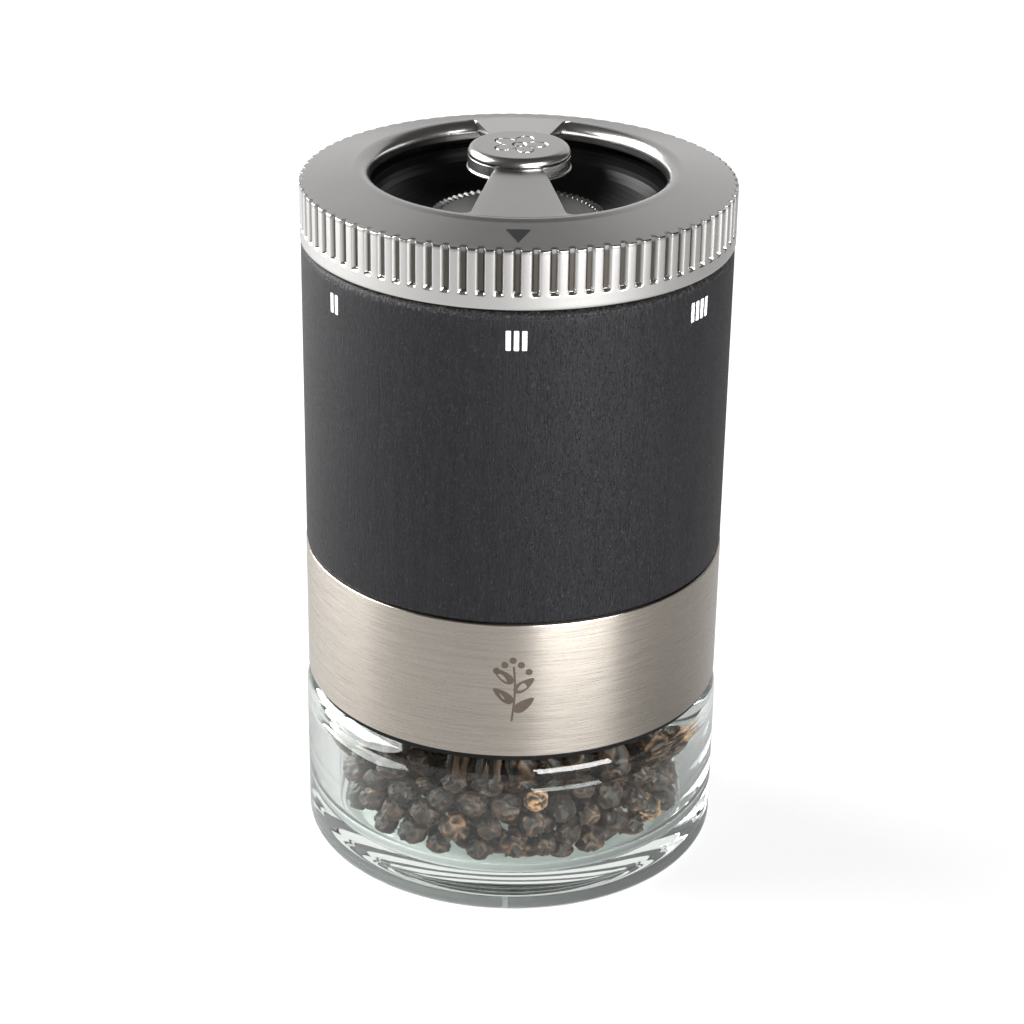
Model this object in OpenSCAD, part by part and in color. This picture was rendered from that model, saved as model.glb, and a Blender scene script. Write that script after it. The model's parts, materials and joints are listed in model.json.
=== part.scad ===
// Pepper mill that grinds upside down: a screw-in glass jar at the foot, a brushed steel band
// that turns the rotor, a black wooden grip, and a ribbed setting ring with a bridge on top.
// Millimetres, +Z up, origin at the middle of the jar's foot.

/* [Outer shape] */
// Diameter of the glass jar
jar_d = 66.6; // [66.2:0.1:67.6]
// Diameter of the steel band and of the setting ring over its ribs
band_d = 66; // [65.8:0.1:67]
// Diameter of the wooden grip
grip_d = 65.8; // [65.4:0.1:66.6]
// Height of the jar up to its shoulder
shoulder_z = 27.3; // [27:0.1:27.6]
// Height of the steel band
band_h = 22.5; // [22:0.1:24]
// Height of the wooden grip
grip_h = 49.3; // [48:0.1:54]

/* [Glass jar] */
// Radius of the pepper space
jar_bore_r = 28.5; // [27:0.1:28.7]
// Radius of the jar's mouth
mouth_r = 20.5; // [20:0.1:21]
// Thickness of the glass foot
jar_floor = 4.2; // [4:0.1:6.5]
// How far the pepper's top lies below the jar's shoulder
fill_gap = 5.8; // [5.5:0.1:12]
// Pitch of the jar's thread
jar_pitch = 4; // [3.8:0.1:4]

/* [Setting ring] */
// Ribs around the ring
rib_count = 80; // [60:1:90]
// Rise of the ring's face from its rim to the opening
crown = 1.9; // [1.5:0.1:2.3]
// Radius of the opening at the ring's face
opening_r = 24.3; // [24:0.1:24.6]
// Pitch of the thread that lifts the grinding ring
lift_pitch = 2; // [1.8:0.1:2]

/* [Grinding gear] */
// Radius of the rotor at its outlet face
rotor_r = 13.5; // [12.6:0.1:13.6]
// Half angle of the grinding cone
cone_angle = 20; // [18:1:22]
// Gap between rotor and grinding ring at the middle setting, across the axis
grind_gap = 0.42; // [0.35:0.01:0.45]
// Teeth on the rotor
rotor_teeth = 48; // [36:1:48]
// Grooves in the grinding ring
stator_teeth = 32; // [24:1:36]

/* [Hidden] */
$fn = 96;
eps = 0.01;
run = 0.05;              // radial running clearance

// Colours
black_wood = [0.09, 0.09, 0.1];
black_plastic = [0.05, 0.05, 0.06];
white_plastic = [0.85, 0.85, 0.82];
steel = [0.66, 0.64, 0.61];
satin_metal = [0.55, 0.55, 0.56];
brass = [0.78, 0.62, 0.32];
rubber = [0.12, 0.12, 0.12];
clear_glass = [0.86, 0.93, 0.92, 0.4];
pepper = [0.2, 0.14, 0.1];

// Radii from the outside in
jar_r = jar_d / 2;
band_r = band_d / 2;
grip_r = grip_d / 2;
band_wall = 0.8;
socket_r = band_r - band_wall;
liner_r = 26.2;
liner_bore_r = 24.1;
head_r = 30.6;           // wide head of the liner, in the grip's counterbore
head_bore_r = 27.3;
journal_r = 22.4;
throat_r = 19.5;
spider_r = 20.8;
bowl_r = 23.8;           // outside of the outlet bowl
lip_r = opening_r - 1.9;
hollow_r = 30.6;         // inside of the ring's grooved wall
insert_r = 26;           // outside of the ring's threaded insert
groove_deep = 0.55;      // depth of the grooves around the ring
screw_r = 28.4;          // where the liner's screws stand
leaf_r = 28.6;           // inside of the click spring's leaf
stator_r = 17;           // seat of the grinding ring in the bowl
hub_r = 7.7;             // round hub under the cap
boss_r = 3.6;            // boss that holds the spindle's bush
bush_r = 2.9;
tip_r = 2;               // round tip of the spindle
peg_r = 2.2;             // hole for the cap's peg
step_angle = 54;         // turn of the ring from one setting to the next

// Heights from the foot up
band_z = shoulder_z + 1.1;
band_top = band_z + band_h;
grip_z = band_top + 0.25;
grip_top = grip_z + grip_h;
liner_z = grip_z + 0.5;
head_z = grip_top - 10;
head_floor = 2;
ring_z = grip_top + 0.3;
ring_edge_z = ring_z + 8.9;
ring_face_z = ring_edge_z + crown;
hub_top_z = ring_face_z + 1.75;
hub_h = 2.1;
cap_h = 1.45;
rotor_face_z = ring_face_z - 7.9;
rotor_h = 14.6;
nut_top_z = rotor_face_z + 1.8;
hub_low_z = rotor_face_z + 2.6;
bush_h = 4.1;
stator_low_z = rotor_face_z - 13;
stator_high_z = rotor_face_z - 2;
jar_thread_z = shoulder_z + 2.4;     // where the jar's thread starts in the socket
lift_thread_z = head_z + 7;          // where the lifting thread starts in the ring
mouth_z = shoulder_z + 11.2;         // top of the jar
gasket_h = 1.2;
well_round = 4.5;                    // rounding at the bottom of the pepper space

// Grooves for the wire ring, the journal's circlip and the spindle's two clips
ring_groove_z = head_z + 4.3;
ring_groove_h = 1.5;
journal_groove_z = liner_z + 2.7;
journal_groove_h = 1.1;
spindle_grooves = [liner_z - 0.4, liner_z + 19.6];
spindle_groove_h = 0.8;
seat_z = liner_z + 18.5;             // washer on top of the preload spring

// ---- shared shapes ----

// A ring of rectangular section
module tube(r_out, r_in, z0, z1) {
    translate([0, 0, z0]) difference() {
        cylinder(r = r_out, h = z1 - z0);
        translate([0, 0, -eps]) cylinder(r = r_in, h = z1 - z0 + 2 * eps);
    }
}

// An open ring such as a circlip, with its mouth towards +X
module open_ring(r_out, r_in, z0, z1, mouth) {
    translate([0, 0, z0]) difference() {
        cylinder(r = r_out, h = z1 - z0);
        translate([0, 0, -eps]) cylinder(r = r_in, h = z1 - z0 + 2 * eps);
        translate([0, -mouth / 2, -eps]) cube([r_out + 1, mouth, z1 - z0 + 2 * eps]);
    }
}

// Copies its children n times around the axis
module around(n, first = 0) {
    for (i = [0 : n - 1]) rotate([0, 0, first + i * 360 / n]) children();
}

// Points of an arc, from angle a0 to a1
function arc(cx, cy, r, a0, a1, steps) =
    [for (i = [0 : steps]) let (a = a0 + (a1 - a0) * i / steps) [cx + r * cos(a), cy + r * sin(a)]];

// Faces of a swept tube whose sections run anticlockwise, closed at both ends
function sweep_faces(rings, sides) = concat(
    [[for (j = [sides - 1 : -1 : 0]) j]],
    [for (i = [0 : rings - 2], j = [0 : sides - 1], half = [0, 1])
        let (k = (j + 1) % sides, a = i * sides, b = a + sides)
        half == 0 ? [a + j, a + k, b + k] : [a + j, b + k, b + j]],
    [[for (j = [0 : sides - 1]) (rings - 1) * sides + j]]
);

// A right-hand thread ridge, from root_r to tip_r, whose middle starts at height z0 on the +X side
module thread_ridge(root_r, tip_r, root_w, tip_w, pitch, turns, z0, first = 0) {
    steps = ceil(turns * 48);
    side = root_r < tip_r ? 1 : -1;
    section = [[root_r, -root_w / 2], [tip_r, -tip_w / 2], [tip_r, tip_w / 2], [root_r, root_w / 2]];
    points = [for (i = [0 : steps], j = [0 : 3])
        let (a = first + 360 * turns * i / steps, p = section[side > 0 ? j : 3 - j])
        [p[0] * cos(a), p[0] * sin(a), z0 + pitch * turns * i / steps + p[1]]];
    faces = sweep_faces(steps + 1, 4);
    polyhedron(points, faces, convexity = 8);
}

// ---- casing ----

// Black-stained wooden tube with a wide counterbore at the top
module wood_grip() {
    bevel = 0.9;
    color(black_wood) difference() {
        rotate_extrude() polygon([
            [liner_r, grip_z], [grip_r - 0.4, grip_z], [grip_r, grip_z + 0.4],
            [grip_r, grip_top - bevel], [grip_r - bevel, grip_top],
            [head_r, grip_top], [head_r, head_z], [liner_r, head_z]
        ]);
        around(3, 30) translate([screw_r, 0, head_z - 7]) cylinder(r = 0.8, h = 7 + eps, $fn = 24);
    }
}

// Where the post stands that stops the ring at both ends of its turn
stop_angle = 210;

// Moulded liner: the journal's bearing below, the ring's bearing above, and slots that stop the bowl turning
module grip_liner() {
    slot_w = 4.2;
    color(black_plastic) difference() {
        union() {
            rotate_extrude() polygon([
                [journal_r + run, liner_z], [liner_r, liner_z], [liner_r, head_z], [head_r, head_z],
                [head_r, grip_top - 0.4], [head_bore_r, grip_top - 0.4],
                [head_bore_r, ring_groove_z + ring_groove_h], [28.2, ring_groove_z + ring_groove_h],
                [28.2, ring_groove_z], [head_bore_r, ring_groove_z], [head_bore_r, head_z + head_floor],
                [liner_bore_r, head_z + head_floor], [liner_bore_r, liner_z + 2.4],
                [journal_r + run, liner_z + 2.4]
            ]);
            rotate([0, 0, stop_angle - 4]) rotate_extrude(angle = 8)
                translate([27.9, grip_top - 0.6]) square([2.1, 6.2]);
        }
        around(3) translate([20, -slot_w / 2, head_z - 6]) cube([5.6, slot_w, 8 + 2 * eps]);
        around(3, 30) translate([screw_r, 0, head_z + head_floor]) cylinder(r = 1.6, h = 20, $fn = 32);
        around(3, 30) translate([screw_r, 0, 0]) {
            translate([0, 0, head_z - eps]) cylinder(r = 0.83, h = head_floor + 1, $fn = 24);
            translate([0, 0, head_z + 0.85]) cylinder(r1 = 0.83, r2 = 1.46, h = 1.15 + eps, $fn = 24);
        }
        click_feet(0.1);
    }
}

// Three countersunk screws that hold the liner down in the grip
module liner_screws() {
    color(steel) around(3, 30) translate([screw_r, 0, 0]) difference() {
        union() {
            translate([0, 0, head_z - 6.5]) cylinder(r = 0.8, h = 8, $fn = 24);
            translate([0, 0, head_z + 0.9]) cylinder(r1 = 0.8, r2 = 1.4, h = 1.1, $fn = 24);
        }
        translate([-0.15, -1.1, head_z + 1.6]) cube([0.3, 2.2, 1]);
        translate([-1.1, -0.15, head_z + 1.6]) cube([2.2, 0.3, 1]);
    }
}

// Slippery washer between the turning band and the grip
module glide_ring() {
    color(white_plastic) tube(25.8, 22.9, band_top + run, liner_z - run);
}

// Where the click spring's two feet drop into the liner's head, grown by a clearance
module click_feet(gap) {
    for (a = [-14, 14]) rotate([0, 0, 90 + a])
        translate([leaf_r - gap, -1 - gap, grip_top - 2.4 - gap])
            cube([0.4 + 2 * gap, 2 + 2 * gap, 2.4 + 2 * gap]);
}

// Leaf spring whose bump clicks into the notches inside the setting ring
module click_spring() {
    color(steel) {
        difference() {
            union() {
                click_feet(0);
                rotate([0, 0, 74]) rotate_extrude(angle = 32)
                    translate([leaf_r, grip_top - 0.4]) square([0.4, 3]);
                rotate([0, 0, 90]) translate([leaf_r + 1.3, 0, grip_top + 0.15])
                    cylinder(r = 1, h = 2.4, $fn = 32);
            }
            cylinder(r = leaf_r, h = 150);
        }
    }
}

// ---- setting ring ----

// Half width of the bridge at a distance y from the axis: narrow at the hub, wide at the ring
arm_half = 3.6;
arm_flare = 3.4;
function bridge_half(y) = arm_half + arm_flare * pow(max(0, (y - hub_r) / (opening_r - hub_r)), 0.85);

// Outline of one arm, from inside the hub to inside the ring
module bridge_outline() {
    start = 5;
    reach = opening_r + 1;
    steps = 8;
    ys = [for (i = [0 : steps]) start + (reach - start) * i / steps];
    polygon(concat(
        [for (y = ys) [bridge_half(y), y]],
        [for (i = [steps : -1 : 0]) [-bridge_half(ys[i]), ys[i]]]
    ));
}

// Both arms, which rise from the ring's face to the top of the hub
module bridge() {
    thick = 1.8;
    intersection() {
        for (s = [0, 180]) rotate([0, 0, s])
            translate([0, 0, ring_face_z - 3]) linear_extrude(6) bridge_outline();
        rotate_extrude() polygon([
            [0, hub_top_z - thick], [opening_r, ring_face_z - thick], [opening_r, ring_face_z],
            [hub_r, hub_top_z], [0, hub_top_z]
        ]);
    }
}

// Round hub with a thin flange at its foot and the boss for the bush
module hub() {
    flange = 0.2;
    flange_h = 0.3;
    low_z = hub_top_z - hub_h;
    translate([0, 0, low_z]) cylinder(r = hub_r, h = hub_h);
    translate([0, 0, low_z]) cylinder(r = hub_r + flange, h = flange_h);
    translate([0, 0, hub_low_z]) cylinder(r = boss_r, h = hub_top_z - hub_low_z);
}

// One outline of all the ribs that stand between the ring's grooves
module rib_outline(low_r, high_r) {
    step = 360 / rib_count;
    foot = 0.42;     // half width of a rib at its foot, as a share of the step
    tip = 0.25;
    polygon([for (i = [0 : rib_count - 1], p = [[-foot, low_r], [-tip, high_r], [tip, high_r], [foot, low_r]])
        let (a = (i + 0.5 + p[0]) * step) [p[1] * cos(a), p[1] * sin(a)]]);
}

// Die-cast ring with ribs, crowned face, lip, bridge, hub and the skirt that runs in the liner
module setting_ring() {
    wall_r = band_r - groove_deep;
    skirt_r = head_bore_r - run * 2;
    groove_r = skirt_r - 0.5;        // floor of the wire ring's groove
    skirt_low_z = head_z + 2.8;
    ceiling_z = ring_edge_z - 2;
    lug_turn = 81;
    color(satin_metal) difference() {
        union() {
            rotate_extrude() polygon(concat(
                [[insert_r, skirt_low_z], [skirt_r, skirt_low_z],
                 [skirt_r, ring_groove_z], [groove_r, ring_groove_z],
                 [groove_r, ring_groove_z + ring_groove_h], [skirt_r, ring_groove_z + ring_groove_h],
                 [skirt_r, ceiling_z], [hollow_r, ceiling_z], [hollow_r, ring_z],
                 [band_r - 0.3, ring_z], [band_r, ring_z + 0.3], [band_r, ring_z + 1.9],
                 [wall_r, ring_z + 2.4], [wall_r, ring_edge_z - 0.4], [wall_r - 0.4, ring_edge_z]],
                arc(opening_r, ring_face_z - 1.9, 1.9, 90, 180, 8),
                [[lip_r, ring_face_z - 2.8], [insert_r, ring_face_z - 2.8]]
            ));
            difference() {
                translate([0, 0, ring_z + 2]) linear_extrude(ring_edge_z - ring_z - 2.2)
                    rib_outline(wall_r - 0.3, band_r);
                cylinder(r = wall_r - 0.6, h = 150);
            }
            bridge();
            hub();
            rotate([0, 0, stop_angle - 207 - lug_turn / 2]) rotate_extrude(angle = lug_turn)
                translate([skirt_r - 0.5, ring_z + 3.8]) square([hollow_r - skirt_r + 1, 3.6]);
        }
        translate([0, 0, hub_low_z - eps]) cylinder(r = bush_r, h = bush_h + eps);
        translate([0, 0, hub_low_z]) cylinder(r = peg_r, h = 20);
        for (k = [-2 : 3]) rotate([0, 0, 90 - k * step_angle])
            translate([leaf_r + 1.6, 0, ring_z - eps]) cylinder(r = 1.15, h = 3.2, $fn = 32);
    }
}

// Threaded insert pressed into the ring's skirt
module thread_insert() {
    color(black_plastic) union() {
        tube(insert_r, insert_r - 0.9, head_z + 3.4, ring_face_z - 2.9);
        thread_ridge(25.3, 24.1, 1.1, 0.5, lift_pitch, 3.5, lift_thread_z);
    }
}

// Wire ring that keeps the setting ring down in the liner
module ring_clip() {
    color(steel) open_ring(27.9, head_bore_r - 2 * run - 0.5,
        ring_groove_z + 0.15, ring_groove_z + ring_groove_h - 0.15, 6);
}

// Round cap over the hub, with a peg pressed into it and a softened edge
module hub_cap() {
    top_z = hub_top_z + cap_h;
    peg_fit = peg_r - 0.03;
    peg_z = hub_top_z - 0.9;
    soft = 1.1;
    color(satin_metal) rotate_extrude() polygon(concat(
        [[0, peg_z], [peg_fit, peg_z], [peg_fit, hub_top_z], [hub_r, hub_top_z]],
        arc(hub_r - soft, top_z - soft, soft, 0, 90, 6),
        [[0, top_z]]
    ));
}

// Bearing for the spindle's tip
module hub_bush() {
    color(brass) tube(bush_r, tip_r + run, hub_low_z, hub_low_z + bush_h);
}

// Radius of the grinding ring's cone at a height
function cone_r(z) = rotor_r - (rotor_face_z - z) * tan(cone_angle) + grind_gap;

// ---- grinding ring, which the setting ring lifts and lowers ----

// Black bowl round the outlet, with keys that stop it turning and the thread that moves it
module outlet_bowl() {
    floor_z = rotor_face_z - 0.7;
    lip_z = floor_z + 4.7;
    low_z = head_z - 3.5;
    key_w = 3.8;
    bowl_curve = [for (a = [0 : -10 : -90]) [15.5 + (lip_r - 15.5) * cos(a), floor_z + 4 + 4 * sin(a)]];
    color(black_plastic) union() {
        difference() {
            rotate_extrude() polygon(concat(
                [[21.8, low_z], [bowl_r, low_z], [bowl_r, lip_z], [lip_r, lip_z]],
                bowl_curve,
                [[14.3, floor_z], [14.3, stator_high_z], [stator_r, stator_high_z],
                 [stator_r, stator_low_z], [17.6, stator_low_z], [17.6, stator_low_z - 1],
                 [stator_r, stator_low_z - 1], [stator_r, low_z + 1]]
            ));
            rotate_extrude() polygon([[19, low_z + 2.2], [22.2, low_z + 2.2],
                [22.2, floor_z - 0.6], [19, floor_z - 1.6]]);
            around(3, 60) translate([20, -4, low_z + 3]) cube([6, 8, 5]);
        }
        around(3) translate([23.3, -key_w / 2, low_z]) cube([2, key_w, 4.5]);
        thread_ridge(23.6, 24.8, 1.0, 0.5, lift_pitch, 1.5, lift_thread_z + 1.5 * lift_pitch);
    }
}

// Female grinding ring with slanting grooves in its cone
module stator_ring() {
    tall = stator_high_z - stator_low_z;
    color(steel) difference() {
        translate([0, 0, stator_low_z]) cylinder(r = stator_r - 0.04, h = tall);
        translate([0, 0, stator_low_z - 1])
            cylinder(r1 = cone_r(stator_low_z - 1), r2 = cone_r(stator_high_z + 1), h = tall + 2);
        around(stator_teeth) translate([cone_r(stator_low_z), 0, stator_low_z]) rotate([12, cone_angle, 0])
            translate([-0.7, -0.4, -2]) cube([1.4, 0.8, 16]);
    }
}

// Circlip under the grinding ring
module stator_clip() {
    color(steel) open_ring(17.55, 15, stator_low_z - 0.95, stator_low_z - 0.05, 5);
}

// ---- drive: what turns with the steel band ----

// Brushed stainless sleeve
module steel_band() {
    color(steel) rotate_extrude() polygon([
        [socket_r, band_z], [band_r - 0.2, band_z], [band_r, band_z + 0.2],
        [band_r, band_top - 0.2], [band_r - 0.2, band_top], [socket_r, band_top]
    ]);
}

// Moulded socket inside the band: the jar's thread below, the throat, and the journal above
module jar_socket() {
    thread_r = 27.3;
    web_z = mouth_z + gasket_h;
    color(black_plastic) union() {
        rotate_extrude() polygon([
            [thread_r, shoulder_z + 0.1], [band_r - 0.6, shoulder_z + 0.1], [band_r - 0.6, band_z],
            [socket_r, band_z], [socket_r, band_top], [30, band_top], [30, web_z + 3], [26, web_z + 3],
            [26, band_top], [journal_r, band_top],
            [journal_r, journal_groove_z], [journal_r - 0.8, journal_groove_z],
            [journal_r - 0.8, journal_groove_z + journal_groove_h],
            [journal_r, journal_groove_z + journal_groove_h], [journal_r, liner_z + 6],
            [spider_r, liner_z + 6], [spider_r, liner_z + 1], [throat_r, liner_z + 1],
            [throat_r, web_z], [thread_r, web_z]
        ]);
        thread_ridge(27.6, 26, 2.2, 1.1, jar_pitch, 1.75, jar_thread_z);
    }
}

// Circlip that keeps the journal up in the liner
module journal_clip() {
    color(steel) open_ring(23.4, journal_r - 0.76,
        journal_groove_z + 0.05, journal_groove_z + journal_groove_h - 0.05, 6);
}

// Three-armed driver, pressed into the journal, that turns the spindle and lets the pepper past
module drive_spider() {
    z0 = liner_z + 1;
    color(black_plastic) difference() {
        union() {
            tube(spider_r, throat_r, z0, z0 + 3);
            around(3) translate([4, -1.5, z0]) cube([throat_r - 3.5, 3, 3]);
            translate([0, 0, z0 - 0.5]) cylinder(r = 5.5, h = 6);
        }
        translate([-2.55, -2.55, z0 - 2]) cube([5.1, 5.1, 12]);
    }
}

// Square shaft with a round tip, and a groove for each clip
module spindle() {
    low_z = liner_z - 3;
    tip_z = hub_low_z + bush_h - 0.3;
    color(steel) difference() {
        union() {
            translate([-2.5, -2.5, low_z]) cube([5, 5, rotor_face_z - low_z]);
            translate([0, 0, rotor_face_z - eps]) cylinder(r = tip_r, h = tip_z - rotor_face_z);
        }
        for (z = spindle_grooves) tube(6, 2.2, z, z + spindle_groove_h);
    }
}

// Clip in one of the spindle's grooves
module shaft_clip(groove_z) {
    color(steel) open_ring(4.8, 2.2, groove_z + 0.05, groove_z + spindle_groove_h - 0.05, 3.4);
}

// Clip under the spider
module spindle_clip() {
    shaft_clip(spindle_grooves[0]);
}

// Coil spring that pushes the spindle up against the hub
module preload_spring() {
    wire_r = 0.45;
    coil_r = 4.6;
    sides = 8;
    turns = 6;
    steps = turns * 20;
    low_z = liner_z + 6.5 + wire_r;
    rise = seat_z - wire_r - low_z;
    points = [for (i = [0 : steps], j = [0 : sides - 1])
        let (a = 360 * turns * i / steps, b = 360 * j / sides, r = coil_r + wire_r * cos(b))
        [r * cos(a), r * sin(a), low_z + rise * i / steps + wire_r * sin(b)]];
    color(steel) polyhedron(points, sweep_faces(steps + 1, sides), convexity = 12);
}

// Washer that the spring pushes on
module spring_seat() {
    color(steel) difference() {
        translate([0, 0, seat_z]) cylinder(r = 5.6, h = 1);
        translate([-2.55, -2.55, seat_z - 0.5]) cube([5.1, 5.1, 2]);
    }
}

// Clip above the spring's washer
module spring_clip() {
    shaft_clip(spindle_grooves[1]);
}

// Male grinding cone, with slanting teeth that show round its outlet face
module rotor() {
    low_z = rotor_face_z - rotor_h;
    low_r = rotor_r - rotor_h * tan(cone_angle);
    color(steel) difference() {
        translate([0, 0, low_z]) cylinder(r1 = low_r, r2 = rotor_r, h = rotor_h);
        around(rotor_teeth) translate([low_r, 0, low_z]) rotate([-10, cone_angle, 0])
            translate([-0.55, -0.3, -2]) cube([2, 0.6, 20]);
        translate([0, 0, rotor_face_z - 0.5]) difference() {
            cylinder(r = 12.2, h = 1);
            translate([0, 0, -eps]) cylinder(r = 11.7, h = 1 + 2 * eps);
        }
        translate([-2.53, -2.53, low_z - 1]) cube([5.06, 5.06, rotor_h + 2]);
    }
}

// Hexagon nut that holds the rotor on the spindle
module rotor_nut() {
    color(steel) difference() {
        translate([0, 0, rotor_face_z]) cylinder(r = 3.9, h = nut_top_z - rotor_face_z, $fn = 6);
        translate([0, 0, rotor_face_z - 1]) cylinder(r = tip_r + 0.03, h = 4);
    }
}

// Washer between the nut and the hub's bush
module thrust_washer() {
    color(brass) tube(boss_r - 0.1, tip_r + run, nut_top_z, hub_low_z - run);
}

// ---- jar ----

// Rubber ring between the jar's mouth and the socket
module jar_gasket() {
    color(rubber) tube(25, 21, mouth_z, mouth_z + gasket_h);
}

// Thick pressed-glass jar: a wide well, an arched shoulder and a threaded neck
module glass_jar() {
    neck_r = 25.6;
    arch_r = jar_bore_r - mouth_r - 1;
    arch_z = shoulder_z - 7.8;
    arch_curve = [for (a = [90 : -10 : 0]) [mouth_r + 1 + arch_r * cos(a), arch_z + 5 * sin(a)]];
    color(clear_glass) union() {
        rotate_extrude() polygon(concat(
            [[0, 0.9], [22, 0.7], [24, 0]],
            arc(jar_r - 2, 2, 2, -90, 0, 6),
            arc(jar_r - 2.6, shoulder_z - 2.6, 2.6, 0, 90, 8),
            [[neck_r, shoulder_z], [neck_r, mouth_z - 0.6], [neck_r - 0.6, mouth_z],
             [mouth_r + 0.6, mouth_z], [mouth_r, mouth_z - 0.6], [mouth_r, arch_z + 6]],
            arch_curve,
            arc(jar_bore_r - well_round, jar_floor + well_round, well_round, 0, -90, 8),
            [[0, jar_floor - 0.4]]
        ));
        thread_ridge(25.3, 26.9, 2.1, 1.1, jar_pitch, 1.25, jar_thread_z + jar_pitch / 2);
    }
}

// The pepper in the jar, as one heap that lies clear of the glass
module peppercorns() {
    gap = 0.15;
    r = jar_bore_r - gap;
    top_z = shoulder_z - fill_gap;
    color(pepper) rotate_extrude() polygon(concat(
        arc(r - well_round, jar_floor + gap + well_round, well_round, -90, 0, 6),
        [[r, top_z - 3.2], [r - 1.8, top_z - 0.8], [r - 4, top_z - 0.1], [9, top_z + 0.3], [0, top_z]],
        [[0, jar_floor + gap]]
    ));
}

wood_grip();
grip_liner();
liner_screws();
glide_ring();
click_spring();
setting_ring();
thread_insert();
ring_clip();
hub_cap();
hub_bush();
outlet_bowl();
stator_ring();
stator_clip();
steel_band();
jar_socket();
journal_clip();
drive_spider();
spindle();
spindle_clip();
preload_spring();
spring_seat();
spring_clip();
rotor();
rotor_nut();
thrust_washer();
jar_gasket();
glass_jar();
peppercorns();
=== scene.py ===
import json
import logging
import math
from collections.abc import Callable, Iterable, Sequence
from dataclasses import dataclass
from enum import Enum

import bmesh
import bpy
import numpy as np
from mathutils import Matrix, Vector


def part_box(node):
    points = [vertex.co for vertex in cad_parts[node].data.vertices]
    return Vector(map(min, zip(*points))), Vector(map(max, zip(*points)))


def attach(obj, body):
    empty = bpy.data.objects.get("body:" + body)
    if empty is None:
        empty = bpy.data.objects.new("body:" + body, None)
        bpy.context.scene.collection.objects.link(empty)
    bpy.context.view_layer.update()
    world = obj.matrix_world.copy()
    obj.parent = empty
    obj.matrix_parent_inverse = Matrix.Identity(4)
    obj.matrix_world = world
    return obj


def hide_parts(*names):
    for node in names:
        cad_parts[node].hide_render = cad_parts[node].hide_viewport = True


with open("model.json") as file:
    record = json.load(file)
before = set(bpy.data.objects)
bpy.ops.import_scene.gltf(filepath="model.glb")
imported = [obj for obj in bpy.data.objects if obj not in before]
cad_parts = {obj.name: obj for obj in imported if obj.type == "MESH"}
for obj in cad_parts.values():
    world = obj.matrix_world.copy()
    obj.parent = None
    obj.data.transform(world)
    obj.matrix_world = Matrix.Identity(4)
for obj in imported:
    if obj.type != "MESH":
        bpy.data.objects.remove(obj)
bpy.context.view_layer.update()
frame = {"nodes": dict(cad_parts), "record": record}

MM = 0.001
LOG = logging.getLogger("pepper_mill")

Point = tuple[float, float]
Place = tuple[float, float, float]
Colour = tuple[float, float, float]
Scale = tuple[float, float, float]
Warp = Callable[[float, float, float], tuple[float, float]]

HUB_RISE = 1.75  # from the setting ring's face up to the top of its hub, in millimetres
CROWN = 1.9  # from the setting ring's rim up to its face, in millimetres
STEP = 54.0  # between two settings, in degrees
FIRST_SETTING = -2  # steps from the front to the finest setting
SETTINGS = 6


class Body(Enum):
    """The rigid bodies that pieces ride on."""

    CASING = "casing"
    SELECT_RING = "select_ring"
    STATOR = "stator"
    DRIVE = "drive"
    GASKET = "gasket"
    JAR = "jar"


def low(node: str) -> float:
    """Measures a CAD node.

    Args:
        node: The node's name.

    Returns:
        The lowest height of a CAD node, in millimetres.
    """
    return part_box(node)[0].z / MM


def high(node: str) -> float:
    """Measures a CAD node.

    Args:
        node: The node's name.

    Returns:
        The greatest height of a CAD node, in millimetres.
    """
    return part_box(node)[1].z / MM


def reach(node: str) -> float:
    """Measures a CAD node.

    Args:
        node: The node's name.

    Returns:
        The greatest radius of a round CAD node, in millimetres.
    """
    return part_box(node)[1].x / MM


# ---------------------------------------------------------------- shader maths


class Value:
    """A socket in a material, with arithmetic that adds the Math nodes it needs."""

    def __init__(self, bench: "Bench", socket: bpy.types.NodeSocket) -> None:
        """Wraps a socket.

        Args:
            bench: The bench whose node tree the socket belongs to.
            socket: The output socket.
        """
        self.bench = bench
        self.socket = socket

    def _math(self, operation: str, first: object, second: object) -> "Value":
        """Adds a Math node.

        Args:
            operation: The node's operation.
            first: The first value or number.
            second: The second value or number.

        Returns:
            The node's result.
        """
        made = self.bench.node("ShaderNodeMath", {"operation": operation}, {0: first, 1: second})
        return made.out("Value")

    def __add__(self, other: object) -> "Value":
        """Returns self + other."""
        return self._math("ADD", self, other)

    def __radd__(self, other: object) -> "Value":
        """Returns other + self."""
        return self._math("ADD", other, self)

    def __sub__(self, other: object) -> "Value":
        """Returns self - other."""
        return self._math("SUBTRACT", self, other)

    def __rsub__(self, other: object) -> "Value":
        """Returns other - self."""
        return self._math("SUBTRACT", other, self)

    def __mul__(self, other: object) -> "Value":
        """Returns self * other."""
        return self._math("MULTIPLY", self, other)

    def __rmul__(self, other: object) -> "Value":
        """Returns other * self."""
        return self._math("MULTIPLY", other, self)


@dataclass
class Placed:
    """A node that has been placed on the bench."""

    bench: "Bench"
    node: bpy.types.Node

    def out(self, name: str | int = 0) -> Value:
        """Picks one of the node's outputs.

        Args:
            name: The output's name or number.

        Returns:
            The output as a value.
        """
        return Value(self.bench, self.node.outputs[name])


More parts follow.
